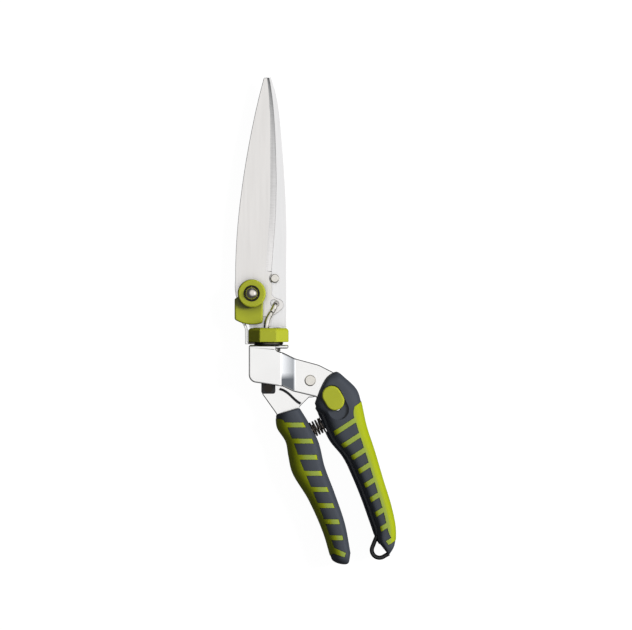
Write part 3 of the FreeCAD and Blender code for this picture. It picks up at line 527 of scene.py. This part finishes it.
class Grip:
    """A grip lofted from cross-sections between its two sides, at steps along its axis."""

    def __init__(self, outline, axis, flat_top):
        self.axis = np.array(axis) / np.linalg.norm(axis)
        self.across = np.array((-self.axis[1], self.axis[0]))
        dense = outline if flat_top else outline[:-1]
        reach = dense @ self.axis
        low, high = (0 if flat_top else int(reach.argmin())), int(reach.argmax())
        self.start, self.end = float(reach[low]), float(reach[high])
        if flat_top:
            chains = [dense[:high + 1], dense[high:][::-1]]
        else:
            loop = np.roll(dense, -low, 0)
            high = (high - low) % len(dense)
            chains = [np.vstack([loop[high:], loop[:1]])[::-1], loop[:high + 1]]
        self.sides = []
        for chain in chains:
            along = np.maximum.accumulate(chain @ self.axis) + np.arange(len(chain)) * 1e-7
            self.sides.append((along, chain @ self.across))
        if self.edge(0, (self.start + self.end) / 2) > self.edge(1, (self.start + self.end) / 2):
            self.sides.reverse()
        self.flat_top = flat_top

    def edge(self, side, along):
        """Place of one side across the axis, at a distance along it."""
        along_axis, across = self.sides[side]
        return float(np.interp(along, along_axis, across))

    def stations(self):
        """Steps along the axis, closer together at rounded ends."""
        turn = np.linspace(0, 1, STATIONS)
        if self.flat_top:
            share = np.sin(turn * math.pi / 2)
        else:
            share = (1 - np.cos(turn * math.pi)) / 2
        return self.start + (self.end - self.start) * np.clip(share, 0.00002, 0.99998)

    def mesh(self, section, lining=0):
        """section(along, width, half_depth) gives the cross-section's points as (across, z).
        The first and last few faces of each ring, on its left side, take the second, darker material."""
        points, faces = [], []
        rings = []
        if self.flat_top:
            for turn in np.linspace(0, math.pi / 2, 6):
                inset = GRIP_TOP_R * (1 - math.sin(turn))
                rings.append((self.start + GRIP_TOP_R * (1 - math.cos(turn)), inset))
        for along in self.stations():
            if not rings or along > rings[-1][0] + 0.05 or not self.flat_top:
                rings.append((float(along), 0.0))
        for along, inset in rings:
            left, right = self.edge(0, along), self.edge(1, along)
            left, right = left + inset, right - inset
            depth = GRIP_HALF_DEPTH - inset
            gaps = [self.end - along] + ([] if self.flat_top else [along - self.start])
            for gap in gaps:
                if gap < GRIP_END_R:
                    arc = math.sqrt(max(1 - (1 - gap / GRIP_END_R) ** 2, 0))
                    depth *= arc * 0.8 + 0.2 * min(gap * 4, 1)
            for across, z in section(along, max(right - left, 0.002), depth):
                place = self.axis * along + self.across * (left + across)
                points.append((place[0], place[1], z))
        count = len(points) // len(rings)
        lined = []
        for i in range(len(rings) - 1):
            for j in range(count):
                a, b = i * count + j, i * count + (j + 1) % count
                if j < lining or j >= count - lining:
                    lined.append(len(faces))
                faces.append((a, b, b + count, a + count))
        last = (len(rings) - 1) * count
        faces += [tuple(range(count)), tuple(range(last, last + count))]
        return mesh_from(points, faces, lined)


def oval(start, stop, count, left, width, depth, power):
    """Points of a rounded-box half outline; angles run from start to stop."""
    made = []
    for turn in np.linspace(start, stop, count):
        c, s = math.cos(turn), math.sin(turn)
        x = left + width / 2 * (1 + math.copysign(abs(c) ** (2 / power), c))
        made.append((x, depth * math.copysign(abs(s) ** (2 / power), s)))
    return made


def left_section(along, width, depth):
    """Section that slopes away on the finger side and is squarer on the inner side."""
    crest = width * LEFT_CREST
    slope = [(crest + (x - width / 2) * crest / (width / 2), z)
             for x, z in oval(math.pi, math.pi / 2, 24, 0.0, width, depth, 2.0)]
    shoulder = [(crest + (x - width / 2) * (width - crest) / (width / 2), z)
                for x, z in oval(math.pi / 2, 0.0, 20, 0.0, width, depth, 3.0)]
    top = slope[:-1] + shoulder
    return top + [(x, -z) for x, z in top[-2:0:-1]]


def lip_share(along, width):
    """How fully the lip is grown at this place, from 0 to 1."""
    rise = min(max((along - LIP_START) / LIP_RISE, 0.0), 1.0)
    rise *= min(max((LIP_END - along) / LIP_FALL, 0.0), 1.0)
    return rise * rise * (3 - 2 * rise) * min(width / 12.0, 1.0)


def right_section(along, width, depth):
    """Rounded box with a low lip along its inner side, from below the head to the hanging loop."""
    rise = lip_share(along, width)
    inset = LIP_WIDTH * rise
    foot = min(0.4 + 0.4 * rise, depth * 0.3)
    lip = [(0.0, 0.0), (0.0, 2.2), (0.2, 2.9), (0.6, 3.3), (1.1, 3.3), (1.5, 2.9), (1.8, 2.0), (2.6, 0.9)]
    top = [(x * rise, z * rise * min(depth / 6.0, 1.0)) for x, z in lip]
    first = math.pi - math.asin((foot / max(depth, 0.01)) ** (RIGHT_POWER / 2))
    top += oval(first, 0.0, 40, inset, width - inset, depth, RIGHT_POWER)
    return top + [(x, -z) for x, z in top[-2:0:-1]]


def plain_section(along, width, depth):
    """The right grip's section without its lip."""
    inset = LIP_WIDTH * lip_share(along, width)
    top = oval(math.pi, 0.0, 44, inset, width - inset, depth, RIGHT_POWER)
    return top + [(x, -z) for x, z in top[-2:0:-1]]


def comb(band, ends, rows, slant, far_side):
    """Outline of the band with its stripes: the band's inner edge, broken by stripes that run to
    the ends' line. The rows give the first stripe, the step to the next, and their number."""
    slant = np.array(slant) / np.linalg.norm(slant)
    across = np.array((-slant[1], slant[0]))
    lines = []
    for chain in (band, ends):
        order = np.argsort(chain @ across)
        lines.append(((chain @ across)[order], (chain @ slant)[order]))

    def place(which, v):
        return slant * np.interp(v, *lines[which]) + across * v

    made = []
    levels = band @ across
    first, step, number = rows
    cuts = [(np.array(first) + np.array(step) * i) @ across for i in range(number)]
    for point, level in zip(band, levels):
        while cuts and level < cuts[0] + STRIPE_WIDTH / 2:
            high, low = cuts[0] + STRIPE_WIDTH / 2, cuts[0] - STRIPE_WIDTH / 2
            made += [place(0, high), place(1, high), place(1, low), place(0, low)]
            cuts.pop(0)
        if not made or level < made[-1] @ across - 0.01:
            made.append(point)
    return np.array(made + [np.array(p) for p in far_side])


def stretches(points, corners):
    """Smooth curves through the points, one for each stretch between corners."""
    ends = [0, *corners, len(points) - 1]
    return [spline(points[a:b + 1]) for a, b in zip(ends, ends[1:])]


def joined(curves):
    """One line of points along curves that follow each other."""
    return np.vstack([curve[:-1] for curve in curves[:-1]] + [curves[-1]])


def grip_pieces(body, core, pattern, cutters):
    """The grip with a groove round its inlay, and the inlay standing a little proud."""
    groove = prism(outset(pattern, GROOVE_GAP), -BEYOND, BEYOND)
    groove = combine(groove, "DIFFERENCE", puffed(core, -GROOVE_DEPTH))
    grip = combine(puffed(body, -SKIN), "DIFFERENCE", groove, *cutters)
    inlay = combine(core, "INTERSECT", prism(pattern, -BEYOND, BEYOND))
    inlay = combine(inlay, "DIFFERENCE", puffed(core, -INLAY_DEPTH), *cutters)
    return grip, inlay


SPRING_MIDDLE = Vector((34.2, -59.9, 0))
SPRING_AXIS = Vector((0.89, 0.45, 0)).normalized()
SPRING_LENGTH = 9.6
SPRING_R = 5.0
SPRING_WIRE_R = 0.56
SPRING_TURNS = 5.0
CLOSED_TURNS = 0.75      # at each end, wound close
POCKET_DEPTH = 6.0


def spring_pocket(sign):
    """Round bore in a grip for one end of the spring."""
    return cylinder(SPRING_MIDDLE, SPRING_AXIS * sign, SPRING_R + 0.95,
                    SPRING_LENGTH / 2 - POCKET_DEPTH, SPRING_LENGTH / 2 + 0.15)


def make_left_grip():
    """Left grip with its inlay of a band and level stripes."""
    sides = stretches(LEFT_SIDE, LEFT_CORNERS)
    shape = Grip(joined(sides), (0.284, -0.959), True)
    body = shape.mesh(left_section)
    ends = sides[-1] + np.array(LEFT_STRIPE_END)
    pattern = comb(spline(LEFT_BAND, 6), ends, LEFT_ROWS, (1, 0), LEFT_BAND_REST)
    grip, inlay = grip_pieces(body, body, pattern, [spring_pocket(-1)])
    add_object("left_handle", smooth(grip), "dark_plastic", "squeeze_handle", ["left_grip"])
    add_object("left_handle_inlay", smooth(inlay), "green_rubber", "squeeze_handle", ["left_grip_inlay"])


RIVET = Vector((29.3, -26.9, 0))
LOCK_START = Vector((45.35, -39.05, 0))
LOCK_TRAVEL = Vector((2.6, -6.0, 0))
LOCK_SLOT_R = 2.4
BUTTON_R = 6.7
BUTTON_LENGTH = Vector((2.3, -3.9, 0))
TRACK_DEPTH = 2.2
HEAD_BORE_R = 19.0       # room inside the grip's head for the bracket and the lever
HEAD_BORE_HALF = 4.85


def stadium(start, stop, radius, count=24):
    """Outline of a slot with round ends."""
    ahead = math.atan2(stop.y - start.y, stop.x - start.x)
    made = []
    for centre, turn in ((start, ahead + math.pi / 2), (stop, ahead - math.pi / 2)):
        for i in range(count + 1):
            a = turn + math.pi * i / count
            made.append((centre.x + radius * math.cos(a), centre.y + radius * math.sin(a)))
    return made


def make_right_grip():
    """Right grip with its inlay, its lip, and the track and slot of the lock."""
    sides = stretches(RIGHT_SIDE, RIGHT_CORNERS)
    shape = Grip(joined(sides), (0.277, -0.961), False)
    body = shape.mesh(right_section, LIP_LINING)
    core = shape.mesh(plain_section)
    ends = sides[0] + np.array(RIGHT_STRIPE_END)
    pattern = comb(spline(RIGHT_BAND, 6), ends, RIGHT_ROWS, (0.84, 0.545), RIGHT_BAND_REST)
    start = LOCK_START - BUTTON_LENGTH * 0.5
    stop = LOCK_START + BUTTON_LENGTH * 0.5 + LOCK_TRAVEL
    track = stadium(start, stop, BUTTON_R + 0.6)
    slot_line = stadium(LOCK_START - LOCK_TRAVEL * 0.05, LOCK_START + LOCK_TRAVEL * 1.15, LOCK_SLOT_R)
    track_floor = GRIP_HALF_DEPTH - TRACK_DEPTH
    cutters = [prism(track, track_floor, BEYOND), prism(track, -BEYOND, -track_floor),
               prism(slot_line, -BEYOND, BEYOND), spring_pocket(1),
               cylinder(RIVET, (0, 0, 1), HEAD_BORE_R, -HEAD_BORE_HALF, HEAD_BORE_HALF, 96)]
    grip, inlay = grip_pieces(body, core, pattern, cutters)
    add_object("right_handle", smooth(grip), "dark_plastic", "frame", ["right_grip"], "black_plastic")
    add_object("right_handle_inlay", smooth(inlay), "green_rubber", "frame", ["right_grip_inlay"])


def make_spring():
    """Round-wire coil spring with closed ends, which stretches between the two grips."""
    per_turn, ring = 40, 14
    height = SPRING_LENGTH - 2 * SPRING_WIRE_R
    closed = 2 * SPRING_WIRE_R * 0.55 * CLOSED_TURNS
    side = SPRING_AXIS.orthogonal().normalized()
    over = SPRING_AXIS.cross(side)
    count = int(SPRING_TURNS * per_turn)
    path = []
    for i in range(count + 1):
        turn = SPRING_TURNS * i / count
        if turn < CLOSED_TURNS:
            rise = closed * turn / CLOSED_TURNS
        elif turn > SPRING_TURNS - CLOSED_TURNS:
            rise = height - closed * (SPRING_TURNS - turn) / CLOSED_TURNS
        else:
            middle = (turn - CLOSED_TURNS) / (SPRING_TURNS - 2 * CLOSED_TURNS)
            rise = closed + (height - 2 * closed) * middle
        angle = 2 * math.pi * turn
        path.append(SPRING_MIDDLE + SPRING_AXIS * (rise - height / 2)
                    + (side * math.cos(angle) + over * math.sin(angle)) * SPRING_R)
    points, faces = [], []
    for i, place in enumerate(path):
        ahead = (path[min(i + 1, count)] - path[max(i - 1, 0)]).normalized()
        a = SPRING_AXIS.cross(ahead).normalized()
        b = ahead.cross(a)
        for j in range(ring):
            turn = 2 * math.pi * j / ring
            points.append(place + (a * math.cos(turn) + b * math.sin(turn)) * SPRING_WIRE_R)
    for i in range(count):
        for j in range(ring):
            p, q = i * ring + j, i * ring + (j + 1) % ring
            faces.append((p, q, q + ring, p + ring))
    faces += [tuple(range(ring)), tuple(range(count * ring, (count + 1) * ring))]
    spring = add_object("coil_spring", smooth(mesh_from(points, faces), 50), "spring_steel",
                        replaced=["return_spring"])
    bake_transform(spring)


# ------------------------------------------------------------------ CAD nodes

# Materials that differ from the record's slot, and the width of each rounded edge
# lever_steel carries the flange's painted shadow
LOOK = {"lever_plate": "lever_steel"}
EDGE_ROUND = {"main_bracket": 1.0, "head_bracket": 0.4, "swivel_collar": 0.6, "pivot_cover": 0.5,
              "moving_blade": 0.35, "rod_clevis": 0.5}


def dress_cad_nodes():
    """Gives each CAD node its material and rounds its sharp edges."""
    for part in frame["record"]["subparts"]:
        node = NODES[part["node"]]
        node.data.materials.clear()
        node.data.materials.append(MATERIALS[LOOK.get(part["node"], part["material_slot"])])
        if part["node"] in EDGE_ROUND:
            weld = node.modifiers.new("weld", "WELD")
            weld.merge_threshold = 2e-6
            flat = node.modifiers.new("flat", "DECIMATE")
            flat.decimate_type = "DISSOLVE"
            flat.angle_limit = math.radians(0.4)
            edge = node.modifiers.new("edge", "BEVEL")
            edge.width = EDGE_ROUND[part["node"]] * MM
            edge.segments = 3
            edge.limit_method = "ANGLE"
            edge.angle_limit = math.radians(35)
            edge.use_clamp_overlap = False


# ------------------------------------------------------------------ camera, light, floor

VIEW_WIDTH = 442.4 * MM
VIEW_CENTRE = Vector((0.4, 4.0, 18.0)) * MM
CAMERA_HEIGHT = 2.2
SENSOR = 36.0
FLOOR_HALF = 4.0
FLOOR_GAP = 0.2 * MM


def make_camera():
    """Looks straight down on the tool, with the blades pointing up in the picture."""
    data = bpy.data.cameras.new("camera")
    data.sensor_width = SENSOR
    data.lens = SENSOR * CAMERA_HEIGHT / VIEW_WIDTH
    data.clip_end = 20
    camera = bpy.data.objects.new("camera", data)
    camera.location = VIEW_CENTRE + Vector((0, 0, CAMERA_HEIGHT))
    bpy.context.collection.objects.link(camera)
    bpy.context.scene.camera = camera


def make_floor():
    """Plain floor that glows nearly white."""
    mesh = bpy.data.meshes.new("floor")
    corners = [(x * FLOOR_HALF, y * FLOOR_HALF, 0) for x, y in ((-1, -1), (1, -1), (1, 1), (-1, 1))]
    mesh.from_pydata(corners, [], [(0, 1, 2, 3)])
    floor = bpy.data.objects.new("floor", mesh)
    floor.location = (0, 0, -FLOOR_GAP)
    bpy.context.collection.objects.link(floor)
    s = Shader("floor_paint", (0.4, 0.4, 0.4), 0.8)
    s.color(s.mix(s.noise(6.0, 2.0), (0.07, 0.07, 0.07), (0.06, 0.06, 0.06)))
    s.set("Emission Color", (1.0, 1.0, 1.0, 1.0))
    s.set("Emission Strength", 0.97)
    mesh.materials.append(s.mat)
    floor.visible_diffuse = False
    floor.visible_glossy = False


def area_light(name, place, target, size, power):
    """Soft rectangular light that isn't mirrored in the metal."""
    data = bpy.data.lights.new(name, "AREA")
    data.shape = "RECTANGLE"
    data.size, data.size_y = size
    data.energy = power
    light = bpy.data.objects.new(name, data)
    light.location = place
    light.rotation_euler = (Vector(target) - Vector(place)).to_track_quat("-Z", "Y").to_euler()
    bpy.context.collection.objects.link(light)
    light.visible_glossy = False


WORLD_DIFFUSE = 0.30     # share of the sky's light that matt surfaces get


def sky_patch(tree, direction, start, full, low, high):
    """Brightness of the sky round a direction: low outside start, high inside full (both as cosines)."""
    coords = tree.nodes.new("ShaderNodeTexCoord")
    lean = tree.nodes.new("ShaderNodeVectorMath")
    lean.operation = "DOT_PRODUCT"
    lean.inputs[1].default_value = Vector(direction).normalized()
    tree.links.new(coords.outputs["Generated"], lean.inputs[0])
    spread = tree.nodes.new("ShaderNodeMapRange")
    spread.interpolation_type = "SMOOTHSTEP"
    for socket, value in (("From Min", start), ("From Max", full), ("To Min", low), ("To Max", high)):
        spread.inputs[socket].default_value = value
    tree.links.new(lean.outputs["Value"], spread.inputs["Value"])
    return spread.outputs["Result"]


def combined(tree, operation, a, b):
    """Sum or product of two outputs."""
    node = tree.nodes.new("ShaderNodeMath")
    node.operation = operation
    tree.links.new(a, node.inputs[0])
    tree.links.new(b, node.inputs[1])
    return node.outputs[0]


def make_light():
    """Soft studio light: a bright sky overhead and to the right, darker low on the left."""
    world = bpy.data.worlds.new("studio")
    world.use_nodes = True
    tree = world.node_tree
    background = tree.nodes["Background"]
    background.inputs["Color"].default_value = (0.985, 0.99, 1.0, 1.0)
    overhead = sky_patch(tree, (0.30, 0.20, 0.93), 0.35, 0.93, 0.08, 0.97)
    right = sky_patch(tree, (0.93, 0.0, 0.36), 0.80, 0.97, 0.0, 0.75)
    ray = tree.nodes.new("ShaderNodeLightPath")
    share = tree.nodes.new("ShaderNodeMapRange")
    share.inputs["To Min"].default_value = 1.0
    share.inputs["To Max"].default_value = WORLD_DIFFUSE
    tree.links.new(ray.outputs["Is Diffuse Ray"], share.inputs["Value"])
    sky = combined(tree, "ADD", overhead, right)
    strength = combined(tree, "MULTIPLY", sky, share.outputs["Result"])
    tree.links.new(strength, background.inputs["Strength"])
    bpy.context.scene.world = world
    area_light("key", (1.75, 0.45, 1.5), (0, 0, 0), (0.7, 0.9), 86)
    bpy.context.scene.view_settings.view_transform = "Standard"


make_camera()
make_floor()
make_light()
dress_cad_nodes()
make_left_grip()
make_right_grip()
make_spring()
